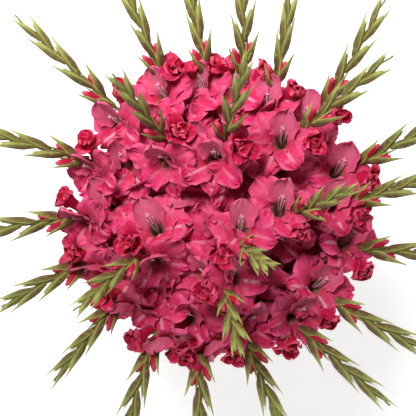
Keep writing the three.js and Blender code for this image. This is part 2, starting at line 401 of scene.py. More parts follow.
def petal_sheets(petals, rows, columns):
    """Sheets (n, rows, columns, 3) of petals in their floret's frame: x to its hood, z its axis.

    Down the middle a petal starts at radius base from the axis and runs at an angle to it that
    eases from tube to limb past the neck, and then to tip near its end. Radius and height are
    the running sums of that angle's sine and cosine. Across, it lies on the circle round the
    axis, so six petals close into a tube, and its half width eases from a share of that circle
    to an oval blade. The edge is ruffled along the surface's normal by a wave round the blade,
    and the midrib is a shallow crease.
    """
    share = np.linspace(0, 1, rows)
    v = 1 - (1 - share) ** 1.3
    u = np.linspace(-1, 1, columns)
    column = {key: np.asarray(value)[:, None] for key, value in petals.items()}
    limb = ease(v[None], column["neck"], column["neck"] + 0.3)
    curl = ease(v[None], 0.7, 1.0)
    angle = column["tube"] + (column["limb"] - column["tube"]) * limb
    angle = angle + (column["tip"] - column["limb"]) * curl
    step = np.diff(v, prepend=0)[None] * column["length"]
    middle = (angle + np.concatenate([angle[:, :1], angle[:, :-1]], axis=1)) / 2
    radius = column["base"] + np.cumsum(step * np.sin(middle), axis=1)
    height = np.cumsum(step * np.cos(middle), axis=1)

    widest = 0.7
    fall = np.clip((v - widest) / (1 - widest), 0, 1)
    blade = np.where(v > widest, np.sqrt(1 - 0.985 * fall**2.5), 0.7 + 0.3 * ease(v, 0.25, widest))
    half = column["clasp"] * radius * (1 - limb) + column["width"] * blade[None] * limb
    waves, phase = column["waves"][..., None], column["phase"][..., None]
    round_edge = np.arctan2(u[None] * 0.9, (v[:, None] - 0.55) * 2.2)
    edge = np.clip(np.maximum(np.abs(u)[None], ease(v, 0.6, 1.0)[:, None]), 0, 1)
    scallop = 1 + 0.1 * np.cos(waves * round_edge + phase) * np.abs(u) ** 3
    turn = (half / np.maximum(radius, 1 * MM))[..., None] * u * scallop
    x = radius[..., None] * np.cos(turn)
    y = radius[..., None] * np.sin(turn)

    sway = np.sin(0.3 * waves * round_edge + 2 * phase) * edge**1.5
    frill = np.sin(waves * round_edge + phase) * edge**3
    ruffle = column["ruffle"][..., None] * (1.2 * sway + 1.15 * frill) * limb[..., None]
    crease = -0.9 * MM * np.exp(-((u / 0.16) ** 2)) * (limb * (1 - curl))[..., None]
    cup = column["cup"][..., None] * (u**2)[None, None] * limb[..., None]
    out = ruffle + crease + cup
    slant = angle[..., None]
    x = x - np.cos(slant) * np.cos(turn) * out
    y = y - np.cos(slant) * np.sin(turn) * out
    z = height[..., None] + np.sin(slant) * out
    z = np.broadcast_to(z, x.shape)

    around = column["around"][..., None]
    turned_x = np.cos(around) * x - np.sin(around) * y
    turned_y = np.sin(around) * x + np.cos(around) * y
    return np.stack([turned_x, turned_y, z], axis=-1)


def bent_tube(points, size, start, side, across, axis):
    """Bends florets near their roots so that each leaves along start and opens along axis.

    The sideways shift is z (1 - z/h)^2 times start less axis, for heights z below h.
    """
    bow = 46 * MM * size[:, None, None]
    height = points[..., 2]
    shift = height * np.clip(1 - height / bow, 0, 1) ** 2
    basis = np.stack([side, across, axis], axis=2)
    lean = ((start - axis)[:, None] @ basis)[:, 0]
    return points + shift[..., None] * lean[:, None, None]


def open_petals(rng, sizes):
    """The six petals of each open floret: a hood, two upper wings, two lower wings and a lip."""
    count = len(sizes)
    size = np.repeat(sizes, 6)
    loosen = 6 * count
    pick = lambda hood, upper, lower, lip: np.tile([hood, upper, upper, lower, lower, lip], count)
    petals = {
        "around": np.tile(OPEN_AROUND, count) + spread(rng, loosen, 0.08),
        "base": pick(3.0, 3.8, 3.0, 3.8) * MM * size,
        "length": pick(92, 90, 84, 86) * MM * size * (1 + spread(rng, loosen, 0.05)),
        "neck": pick(0.34, 0.35, 0.36, 0.36),
        "tube": np.radians(pick(14, 13, 12, 12)),
        "limb": np.radians(pick(47, 80, 70, 90)) + spread(rng, loosen, 0.1),
        "tip": np.radians(pick(36, 100, 108, 116)) + spread(rng, loosen, 0.25),
        "clasp": np.full(loosen, 0.66),
        "width": pick(29, 29, 24.5, 26) * MM * size * (1 + spread(rng, loosen, 0.06)),
        "ruffle": pick(1.9, 3.4, 3.1, 3.1) * MM * size,
        "waves": pick(15.0, 17.0, 16.0, 16.0) + spread(rng, loosen, 1.5),
        "phase": spread(rng, loosen, math.pi),
        "cup": pick(4.0, -1.0, 2.0, -1.5) * MM * size,
    }
    streak = pick(0.0, 0.1, 0.5, 0.42) * rng.uniform(0.3, 1.0, loosen)
    hood = pick(1.0, 0.25, 0.0, 0.05)
    tone = np.repeat(rng.uniform(0, 1, count), 6)
    return petals, np.stack([streak, hood, tone], axis=-1)


def opening_petals(rng, sizes):
    """The petals of each opening floret, three rolled inside three inside three, and ruffled."""
    count = len(sizes)
    whorls = 9
    size = np.repeat(sizes, whorls)
    loosen = whorls * count
    pick = lambda core, inner, outer: np.tile(np.repeat([core, inner, outer], 3), count)
    around = np.radians(np.array([0, 120, 240, 50, 170, 290, 0, 120, 240]))
    openness = np.repeat(rng.uniform(0.4, 1.4, count), whorls)
    petals = {
        "around": np.tile(around, count) + spread(rng, loosen, 0.25),
        "base": pick(1.6, 2.6, 3.6) * MM * size,
        "length": pick(55, 60, 64) * MM * size * (1 + spread(rng, loosen, 0.06)),
        "neck": pick(0.5, 0.42, 0.38),
        "tube": np.radians(pick(3, 5, 8)),
        "limb": np.radians(pick(-3, 9, 25)) * openness + spread(rng, loosen, 0.08),
        "tip": np.radians(pick(12, 38, 78)) * openness + spread(rng, loosen, 0.3),
        "clasp": np.full(loosen, 1.3),
        "width": pick(9, 14.5, 20) * MM * size,
        "ruffle": pick(2.0, 2.6, 2.8) * MM * size,
        "waves": pick(10.0, 12.0, 14.0) + spread(rng, loosen, 1.5),
        "phase": spread(rng, loosen, math.pi),
        "cup": pick(0.0, 0.5, 1.5) * MM * size,
    }
    tone = np.repeat(rng.uniform(0, 1, count), whorls)
    return petals, np.stack([pick(0.0, 0.05, 0.1), pick(1.0, 0.6, 0.0), tone], axis=-1)


def add_petals(solid, petals, shade, floret, slot, rows, columns):
    """Adds the petals of florets whose frames are roots, side, across, axis, start and sizes."""
    points = petal_sheets(petals, rows, columns)
    each = len(points) // len(floret[0])
    roots, side, across, axis, start, sizes = (np.repeat(values, each, axis=0) for values in floret)
    points = bent_tube(points, sizes, start, side, across, axis)
    points = placed(points, roots, side, across, axis)
    faces, uvs = sheet_pattern(rows, columns)
    solid.add(sheet_points(points, PETAL_THICKNESS), faces, uvs, slot, shade)


def add_stamens(solid, floret, rng, filament_slot, anther_slot):
    """Three stamens and a style in each floret, bowed up under its hood.

    A filament starts deep in the tube and follows x = near + far t^2, z = low + rise t. The
    anthers go on from their ends, and the style ends in three short lobes.
    """
    roots, side, across, axis, _, sizes = floret
    count = len(sizes)
    t = np.linspace(0, 1, 7)
    fan = np.array([-1.0, 0.0, 1.0, 0.15])
    far = np.array([11.0, 12.5, 11.0, 15.5])
    rise = np.array([27.0, 30.0, 27.0, 36.0])
    local = np.zeros((count, 4, 7, 3))
    local[..., 0] = 2.0 + far[None, :, None] * t**2
    local[..., 1] = fan[None, :, None] * (1.2 + 3.4 * t) + spread(rng, (count, 4, 1), 1.2) * t
    local[..., 2] = 22 + rise[None, :, None] * t
    local *= MM * sizes[:, None, None, None]
    lines = placed(local, roots, side, across, axis)
    thin = np.array([0.7, 0.65, 0.6, 0.55, 0.5, 0.45, 0.4]) * MM
    paths = lines.reshape(-1, 7, 3)
    add_tubes(solid, paths, np.broadcast_to(thin, (len(paths), 7)), 5, UP, filament_slot)

    ends = lines[:, :3, -1]
    heading = unit(ends - lines[:, :3, -2])
    reach = np.linspace(-2.0, 8.5, 6) * MM
    anthers = (ends[:, :, None] + heading[:, :, None] * reach[:, None]).reshape(-1, 6, 3)
    plump = np.array([0.4, 1.0, 1.15, 1.1, 0.95, 0.3]) * MM
    add_tubes(solid, anthers, np.broadcast_to(plump, (len(anthers), 6)), 6, UP, anther_slot)

    style_end = lines[:, 3, -1]
    onward = unit(style_end - lines[:, 3, -2])
    open_out = np.stack([across, -across, side], axis=1)
    curve = np.linspace(0, 1, 4)[:, None]
    lobe = onward[:, None, None] * 5 * MM * curve + open_out[:, :, None] * 4 * MM * curve**1.5
    lobes = (style_end[:, None, None] + lobe).reshape(-1, 4, 3)
    flare = np.array([0.5, 0.7, 1.0, 0.6]) * MM
    add_tubes(solid, lobes, np.broadcast_to(flare, (len(lobes), 4)), 5, UP, filament_slot)


# ---------------------------------------------------------------- buds and bracts


def bract_sheets(count, rows, columns, wrap, keel):
    """Sheets (count, rows, columns, 3) of folded bracts of length and girth 1, along +z.

    The section is an arc of a circle, open towards -x, whose half angle narrows from wrap to
    seven tenths of it. The girth swells to its widest a third of the way up and falls to a point, and
    the keel stands out along the middle.
    """
    v = np.linspace(0, 1, rows)[:, None]
    u = np.linspace(-1, 1, columns)[None]
    girth = 0.55 + 0.45 * ease(v, 0, 0.3) - 0.96 * np.clip((v - 0.3) / 0.7, 0, 1) ** 1.25
    half = wrap * (1 - 0.3 * ease(v, 0.25, 1))
    ridge = 1 + keel * np.exp(-((u / 0.22) ** 2))
    x = girth * ridge * np.cos(half * u)
    y = girth * np.sin(half * u) * 0.92
    z = v + 0 * u
    sheet = np.stack([x, y, z], axis=-1)
    return np.broadcast_to(sheet, (count,) + sheet.shape).copy()


def add_bracts(solid, roots, axis, side, length, girth, slot, shade, wrap=2.2, curl=0.1):
    """Adds folded bracts on roots, open towards the rachis, whose tips curl away from it."""
    rows, columns = 9, 7
    points = bract_sheets(len(roots), rows, columns, wrap, 0.16)
    tip = points[..., 2] ** 3
    points[..., 0] *= girth[:, None, None]
    points[..., 1] *= girth[:, None, None]
    points[..., 0] += curl * length[:, None, None] * tip
    points[..., 2] *= length[:, None, None]
    across = unit(np.cross(axis, side))
    outward = np.cross(across, axis)
    points = placed(points, roots, outward, across, axis)
    faces, uvs = sheet_pattern(rows, columns)
    solid.add(sheet_points(points, BRACT_THICKNESS), faces, uvs, slot, shade)


def add_spindles(solid, roots, axis, side, length, girth, slot, shade, wind=0.0, waist=0.55, blunt=0.86):
    """Adds closed buds: spindles whose three petals wind round them in overlapping steps.

    The radius is the girth times sin of a share that starts and ends short of the poles. The
    steps are a sawtooth of three teeth round the bud, which turns by wind from root to tip.
    """
    rings, sides = 10, 12
    v = np.linspace(0, 1, rings)
    swell = np.sin(math.pi * (0.1 + blunt * v ** (math.log(0.5) / math.log(waist)))) ** 0.8
    paths = roots[:, None] + axis[:, None] * (length[:, None] * v)[..., None]
    radii = girth[:, None] * swell[None]
    turn = 3 * np.arange(sides)[None] / sides + 3 * wind * v[:, None]
    section = 0.95 + 0.13 * (turn % 1) if wind else 1 + 0.05 * np.cos(2 * math.pi * turn)
    add_tubes(solid, paths, radii, sides, side[:, None], slot, shade, section)


# ---------------------------------------------------------------- nodes and materials


def put(tree, kind, settings=None, **inputs):
    """Adds a node, sets its settings, and fills its inputs from values or from outputs."""
    new = tree.nodes.new("ShaderNode" + kind)
    for key, value in (settings or {}).items():
        setattr(new, key, value)
    for key, value in inputs.items():
        socket = new.inputs[int(key[1:])] if key[1:].isdigit() else new.inputs[key.replace("_", " ")]
        if isinstance(value, bpy.types.NodeSocket):
            tree.links.new(value, socket)
        else:
            socket.default_value = value
    return new


def finish(name, **shader):
    """A new material with its node tree and a shader that has those constant settings."""
    material = bpy.data.materials.new(name)
    material.use_nodes = True
    tree = material.node_tree
    tree.nodes.clear()
    principled = put(tree, "BsdfPrincipled", None, **shader)
    output = put(tree, "OutputMaterial")
    tree.links.new(principled.outputs[0], output.inputs[0])
    return material, tree, principled


def blend(tree, factor, first, second):
    """The output of a colour mix of first and second, which are outputs or linear colours."""
    ends = [c if isinstance(c, bpy.types.NodeSocket) else (*c, 1) for c in (first, second)]
    return put(tree, "Mix", {"data_type": "RGBA"}, i0=factor, i6=ends[0], i7=ends[1]).outputs[2]


def ramp(tree, value, low, high, start=0.0, end=1.0):
    """The output of a smooth map of value from low..high to start..end."""
    settings = {"interpolation_type": "SMOOTHSTEP"}
    ranged = put(tree, "MapRange", settings, i0=value, i1=low, i2=high, i3=start, i4=end)
    return ranged.outputs[0]


def times(tree, *values):
    """The output of the product of several values."""
    result = values[0]
    for value in values[1:]:
        result = put(tree, "Math", {"operation": "MULTIPLY"}, i0=result, i1=value).outputs[0]
    return result


def plus(tree, first, second):
    """The output of the sum of two values."""
    return put(tree, "Math", {"operation": "ADD"}, i0=first, i1=second).outputs[0]


def grain(tree, scale, detail=2.0):
    """Noise in object coordinates, whose features are about 1 / scale metres."""
    place = put(tree, "TexCoord").outputs["Object"]
    return put(tree, "TexNoise", None, Vector=place, Scale=scale, Detail=detail).outputs["Fac"]


def dress(tree, shader, colour, height=None, strength=0.0, depth=0.0):
    """Gives a shader its colour and, from a height, a relief of a depth in millimetres."""
    tree.links.new(colour, shader.inputs["Base Color"])
    if height is not None:
        bump = put(tree, "Bump", None, Strength=strength, Distance=depth * MM, Height=height)
        tree.links.new(bump.outputs[0], shader.inputs["Normal"])


def growth_map(tree):
    """Outputs of the growth UV map: across, along, and aside (0 at the midrib, 1 at the edges)."""
    uv = put(tree, "UVMap", {"uv_map": "growth"})
    parts = put(tree, "SeparateXYZ", None, i0=uv.outputs[0])
    middle = put(tree, "MapRange", None, i0=parts.outputs[0], i1=0.0, i2=1.0, i3=-1.0, i4=1.0)
    aside = put(tree, "Math", {"operation": "ABSOLUTE"}, i0=middle.outputs[0]).outputs[0]
    return parts.outputs[0], parts.outputs[1], aside


def shade_map(tree):
    """The three outputs of the shade attribute."""
    attribute = put(tree, "Attribute", {"attribute_name": "shade"})
    return put(tree, "SeparateColor", None, i0=attribute.outputs[0]).outputs


def stripes(tree, across, count, wobble):
    """A wave across the UV map with count lines, made uneven by noise in object coordinates."""
    noise = grain(tree, wobble)
    shift = times(tree, noise, 2.5)
    lines = times(tree, across, count * 2 * math.pi)
    wave = put(tree, "Math", {"operation": "SINE"}, i0=plus(tree, lines, shift)).outputs[0]
    return put(tree, "MapRange", None, i0=wave, i1=-1.0, i2=1.0, i3=0.0, i4=1.0).outputs[0], noise


def petal_finish(colours):
    """Living petal: a satin film full of water, so it glows a little and has fine veins."""
    material, tree, shader = finish(
        "open petal",
        Roughness=0.5,
        IOR=1.4,
        Specular_IOR_Level=0.3,
        Subsurface_Weight=0.12,
        Subsurface_Radius=(1.0, 0.35, 0.4),
        Subsurface_Scale=2.5 * MM,
        Sheen_Weight=0.05,
        Sheen_Roughness=0.4,
    )
    across, along, aside = growth_map(tree)
    streak, hood, tone = shade_map(tree)[:3]
    veins, noise = stripes(tree, across, 15, 140.0)

    colour = blend(tree, tone, colours.petal, colours.petal_deep)
    colour = blend(tree, ramp(tree, aside, 0.45, 1.0, 0.0, 0.6), colour, colours.petal_edge)
    pale = times(tree, hood, ramp(tree, aside, 1.0, 0.35, 0.1, 0.75))
    colour = blend(tree, pale, colour, colours.hood)
    flush = times(tree, ramp(tree, along, 0.78, 0.45), ramp(tree, hood, 0.8, 0.0, 0.1, 0.75))
    colour = blend(tree, flush, colour, colours.flush)
    line = times(
        tree,
        streak,
        ramp(tree, aside, 0.17, 0.05),
        ramp(tree, along, 0.38, 0.46),
        ramp(tree, along, 0.95, 0.7),
    )
    colour = blend(tree, line, colour, colours.streak)
    colour = blend(tree, ramp(tree, along, 0.46, 0.3), colour, colours.throat)
    # painted shade: the petals darken to near black towards the foot of the tube, where shade falls
    colour = blend(tree, ramp(tree, along, 0.3, 0.12), colour, colours.painted_throat_shade)
    darker = times(tree, veins, ramp(tree, along, 0.3, 0.5), 0.16)
    colour = blend(tree, darker, colour, colours.flush)
    colour = blend(tree, ramp(tree, noise, 0.4, 0.8, 0.0, 0.07), colour, PALE_TINT)
    dress(tree, shader, colour, plus(tree, veins, noise), 0.35, 0.5)
    return material


def opening_finish(colours):
    """Opening petal: still crowded with colour, so it is crimson with paler, drier rims."""
    material, tree, shader = finish(
        "opening petal",
        Roughness=0.42,
        IOR=1.4,
        Specular_IOR_Level=0.35,
        Subsurface_Weight=0.08,
        Subsurface_Radius=(1.0, 0.25, 0.25),
        Subsurface_Scale=2 * MM,
    )
    across, along, aside = growth_map(tree)
    inner, tone = shade_map(tree)[1:3]
    veins, noise = stripes(tree, across, 12, 160.0)
    colour = blend(tree, tone, colours.crimson, colours.crimson_bright)
    outside = times(tree, ramp(tree, inner, 1.0, 0.0), ramp(tree, along, 0.25, 0.7), 0.45)
    colour = blend(tree, outside, colour, colours.petal_deep)
    rim = put(tree, "Math", {"operation": "MAXIMUM"}, i0=ramp(tree, aside, 0.78, 1.0))
    tree.links.new(ramp(tree, along, 0.84, 1.0), rim.inputs[1])
    colour = blend(tree, times(tree, rim.outputs[0], 0.8), colour, colours.crimson_rim)
    colour = blend(tree, times(tree, veins, 0.2), colour, colours.flush)
    dress(tree, shader, colour, plus(tree, veins, noise), 0.4, 0.5)
    return material


def bract_finish(colours):
    """Bract: a leathery green sheath with parallel veins, flushed brown where the sun was."""
    material, tree, shader = finish("bract", Roughness=0.5, IOR=1.42)
    across, along, aside = growth_map(tree)
    young, _, tone = shade_map(tree)[:3]
    veins, noise = stripes(tree, across, 9, 120.0)
    colour = blend(tree, tone, colours.bract, colours.bract_light)
    sunned = times(tree, ramp(tree, noise, 0.28, 0.52), ramp(tree, young, 1.0, 0.0, 0.55, 1.0))
    sunned = times(tree, sunned, ramp(tree, aside, 1.0, 0.45, 0.3, 1.0), ramp(tree, along, 0.85, 0.35))
    colour = blend(tree, sunned, colour, colours.bract_flush)
    tip = times(tree, ramp(tree, along, 0.42, 0.85), ramp(tree, young, 0.0, 1.0, 0.5, 0.95))
    colour = blend(tree, tip, colour, colours.bract_tip)
    colour = blend(tree, ramp(tree, aside, 0.8, 1.0, 0.0, 0.55), colour, colours.bract_tip)
    colour = blend(tree, times(tree, veins, 0.22), colour, colours.bract_dark)
    dress(tree, shader, colour, veins, 0.5, 0.4)
    return material


def stem_finish(colours):
    """Green stem: a waxy skin over long fibres, so it is ribbed finely and shines a little."""
    material, tree, shader = finish("stem skin", Roughness=0.42, IOR=1.45)
    across = growth_map(tree)[0]
    fibres, noise = stripes(tree, across, 14, 45.0)
    colour = blend(tree, ramp(tree, noise, 0.3, 0.7), colours.stem, colours.stem_light)
    colour = blend(tree, times(tree, fibres, 0.25), colour, colours.bract_dark)
    dress(tree, shader, colour, fibres, 0.4, 0.3)
    return material


def cut_finish(colours):
    """Cut stem end: wet pale pith dotted with the ends of the fibres."""
    material, tree, shader = finish("cut pith", Roughness=0.35, IOR=1.4)
    place = put(tree, "TexCoord").outputs["Object"]
    cells = put(tree, "TexVoronoi", None, Vector=place, Scale=1100.0).outputs["Distance"]
    colour = blend(tree, ramp(tree, cells, 0.1, 0.5), colours.stem, colours.pith)
    dress(tree, shader, colour)
    return material


def leaf_finish(colours):
    """Sword leaf: a stiff blade with parallel ribs that catch the light in long lines."""
    material, tree, shader = finish("sword leaf", Roughness=0.45, IOR=1.43)
    across, along, aside = growth_map(tree)
    ribs, noise = stripes(tree, across, 11, 30.0)
    colour = blend(tree, ramp(tree, noise, 0.3, 0.7), colours.leaf, colours.leaf_light)
    colour = blend(tree, ramp(tree, along, 0.85, 1.0, 0.0, 0.5), colour, colours.bract_tip)
    colour = blend(tree, ramp(tree, aside, 0.9, 1.0, 0.0, 0.6), colour, colours.bract_light)
    colour = blend(tree, times(tree, ribs, 0.3), colour, colours.bract_dark)
    dress(tree, shader, colour, ribs, 0.5, 0.5)
    return material


def filament_finish(colours):
    """Filament and style: smooth wet threads, almost white, with a blush at the foot."""
    material, tree, shader = finish("filament", Roughness=0.4, IOR=1.4, Subsurface_Weight=0.1)
    along = growth_map(tree)[1]
    colour = blend(tree, ramp(tree, along, 0.0, 0.6), colours.petal_edge, colours.filament)
    dress(tree, shader, colour)
    return material


def anther_finish(colours):
    """Anther: a dry mauve pouch dusted with pale pollen."""
    material, tree, shader = finish("anther", Roughness=0.8, IOR=1.4)
    dust = grain(tree, 900.0)
    colour = blend(tree, ramp(tree, dust, 0.4, 0.65), colours.anther, colours.filament)
    dress(tree, shader, colour)
    return material


def twine_finish(colours):
    """Jute twine: dull golden fibres twisted in strands, with loose hairs and darker grooves."""
    material, tree, shader = finish("jute twine", Roughness=0.85, IOR=1.5, Sheen_Weight=0.2)
    fibre = grain(tree, 700.0, 4.0)
    colour = blend(tree, ramp(tree, fibre, 0.35, 0.65), colours.twine_dark, colours.twine)
    dress(tree, shader, colour, fibre, 0.6, 0.4)
    return material


# ---------------------------------------------------------------- settings


def colour_setting(name, description, code):
    """A colour that can be changed, with its default written as sRGB hex."""
    return bpy.props.FloatVectorProperty(
        name=name, description=description, subtype="COLOR", min=0, max=1, default=linear(code)
    )


def length_setting(name, description, millimetres):
    """A length that can be changed, with its default written in millimetres."""
    return bpy.props.FloatProperty(
        name=name, description=description, unit="LENGTH", min=0, default=millimetres * MM
    )


class GladiolusColours(bpy.types.PropertyGroup):
    """Colours of the petals, bracts, stems, leaves and twine."""

    petal: colour_setting("Petal", "Open petal", "#e43072")
    petal_deep: colour_setting("Deep petal", "Open petal of a deeper flower", "#cc1e5e")
    petal_edge: colour_setting("Petal edge", "Ruffled edge of an open petal", "#ee6795")
    hood: colour_setting("Hood", "Pale middle of the hood petal", "#dc7394")
    flush: colour_setting("Flush", "Deep flush round the throat", "#c41a49")
    streak: colour_setting("Streak", "Pale midrib of the lower petals", "#fbcfdd")
    throat: colour_setting("Throat", "Mouth of the tube", "#98604a")
    # painted shade deep inside the tube, where little light reaches
    painted_throat_shade: colour_setting("Painted throat shade", "Inside of the tube", "#4a1a16")
    crimson: colour_setting("Crimson", "Opening petal", "#b0102c")
    crimson_bright: colour_setting("Bright crimson", "Brighter opening petal", "#cc1d3f")
    crimson_rim: colour_setting("Crimson rim", "Rim of an opening petal", "#ee5577")
    bract: colour_setting("Bract", "Bract", "#86873c")
    bract_light: colour_setting("Light bract", "Lighter bract", "#989a4a")
    bract_flush: colour_setting("Bract flush", "Brown flush on a bract", "#6b4a32")
    bract_tip: colour_setting("Bract tip", "Young tip and edge of a bract", "#d3d880")
    bract_dark: colour_setting("Bract vein", "Vein of a bract", "#454f1e")
    stem: colour_setting("Stem", "Stem skin", "#71873f")
    stem_light: colour_setting("Light stem", "Lighter stem skin", "#93a558")
    pith: colour_setting("Pith", "Cut stem end", "#dfe3b4")
    leaf: colour_setting("Leaf", "Leaf blade", "#4f7036")
    leaf_light: colour_setting("Light leaf", "Lighter leaf blade", "#6d8d47")
    filament: colour_setting("Filament", "Filament and style", "#efc6d2")
    anther: colour_setting("Anther", "Anther", "#b79ab8")
    twine: colour_setting("Twine", "Twine", "#c9a878")
    twine_dark: colour_setting("Twine groove", "Groove between strands", "#86673f")
    floor: colour_setting("Floor", "Studio floor and wall", "#f7f7f6")


class GladiolusSizes(bpy.types.PropertyGroup):
    """Sizes of what the spikes and stems carry."""

    open_reach: length_setting("Open floret reach", "From the rachis to the floret's mouth", 54)
    open_girth: length_setting("Open floret girth", "Room that an open floret keeps clear", 33)
    opening_reach: length_setting("Opening floret reach", "From the rachis to its middle", 44)
    opening_girth: length_setting("Opening floret girth", "Room that it keeps clear", 17)
    bud_length: length_setting("Bud length", "Length of a coloured bud", 60)
    bud_girth: length_setting("Bud girth", "Radius of a coloured bud", 6.4)
    bract_length: length_setting("Bract length", "Length of the lowest green bract", 86)
    bract_girth: length_setting("Bract girth", "Radius of the lowest green bract", 7.4)
    stem_radius: length_setting("Stem radius", "Radius of a stem where it is cut", 5.2)
    rachis_radius: length_setting("Rachis radius", "Radius of a rachis at its tip", 1.3)
    leaf_width: length_setting("Leaf width", "Widest part of a leaf", 21)
    twine_radius: length_setting("Twine radius", "Radius of the twine", 1.7)


class GladiolusStudio(bpy.types.PropertyGroup):
    """The camera and the light."""

    camera_height: length_setting("Camera height", "Lens above the surface", 2130)
    lens: bpy.props.FloatProperty(
        name="Lens", description="Focal length", unit="CAMERA", min=1, default=78
    )
    key_power: bpy.props.FloatProperty(
        name="Key light", description="Power of the key light", unit="POWER", min=0, default=265
    )
    floor_glow: bpy.props.FloatProperty(
        name="Floor glow", description="Light that shines up through the floor", min=0, default=0.66
    )
    world_strength: bpy.props.FloatProperty(
        name="Surrounding light", description="Strength of the white surround", min=0, default=0.08
    )


# ---------------------------------------------------------------- operators


def numbered(name, index):
    """A piece's name with a two-figure number from 1."""
    return f"{name}_{index + 1:02d}"


def settings_of(context):
    """The scene's sizes and colours."""
    return context.scene.gladiolus_sizes, context.scene.gladiolus_colours


def shades(first, second, tone):
    """A shade for each floret or bud: two measures of it, and its tone."""
    return np.stack([first + 0 * tone, second + 0 * tone, tone], axis=1)


def part_of(values, index, count):
    """The rows of each array that belong to one spike, when each spike has count of them."""
    return tuple(value[index * count : (index + 1) * count] for value in values)


class GLADIOLUS_OT_florets(bpy.types.Operator):
    """Adds the open and opening florets of every spike"""

    bl_idname = "gladiolus.florets"
    bl_label = "Florets"

    def execute(self, context):
        sizes, colours = settings_of(context)
        rng = np.random.default_rng(SEED)
        spikes = Spikes()
        count = len(SPIKE_NODES)
        opened, opening = len(OPEN["places"]), len(OPENING["places"])

        roots, along, axis, side = growth(spikes, OPEN, 0)
        roots2, along2, axis2, side2 = growth(spikes, OPENING, opened)
        axis = unit(axis + RISE * UP - DROOP * NORTH)
        open_size = np.tile(OPEN["sizes"], count)
        opening_size = np.tile(OPENING["sizes"], count)
        reach = np.concatenate([sizes.open_reach * open_size, sizes.opening_reach * opening_size])
        girth = np.concatenate([sizes.open_girth * open_size, sizes.opening_girth * opening_size])
        posts = spikes.at(np.tile(np.linspace(0, 1, 16), (count, 1)))[0].reshape(-1, 3)
        both = settle(
            np.concatenate([roots, roots2]), np.concatenate([axis, axis2]), reach, girth, posts
        )
        axis, axis2 = both[: len(axis)], both[len(axis) :]

        def frames(roots, along, axis, side, size):
            towards = along + HOOD_NORTH * NORTH
            hood = unit(towards - np.sum(towards * axis, axis=1, keepdims=True) * axis)
            start = unit(0.8 * along + 0.6 * side)
            return roots, hood, np.cross(axis, hood), axis, start, size

        open_frames = frames(roots, along, axis, side, open_size)
        opening_frames = frames(roots2, along2, axis2, side2, opening_size)
        materials = [
            petal_finish(colours),
            opening_finish(colours),
            filament_finish(colours),
            anther_finish(colours),
        ]
        for i, node_name in enumerate(SPIKE_NODES):
            solid = Solid()
            mine = part_of(open_frames, i, opened)
            petals, shade = open_petals(rng, mine[-1])
            add_petals(solid, petals, shade, mine, 0, 20, 17)
            add_stamens(solid, mine, rng, 2, 3)
            mine = part_of(opening_frames, i, opening)
            petals, shade = opening_petals(rng, mine[-1])
            add_petals(solid, petals, shade, mine, 1, 14, 13)
            solid.build(numbered("florets", i), materials, [node_name])
        return {"FINISHED"}


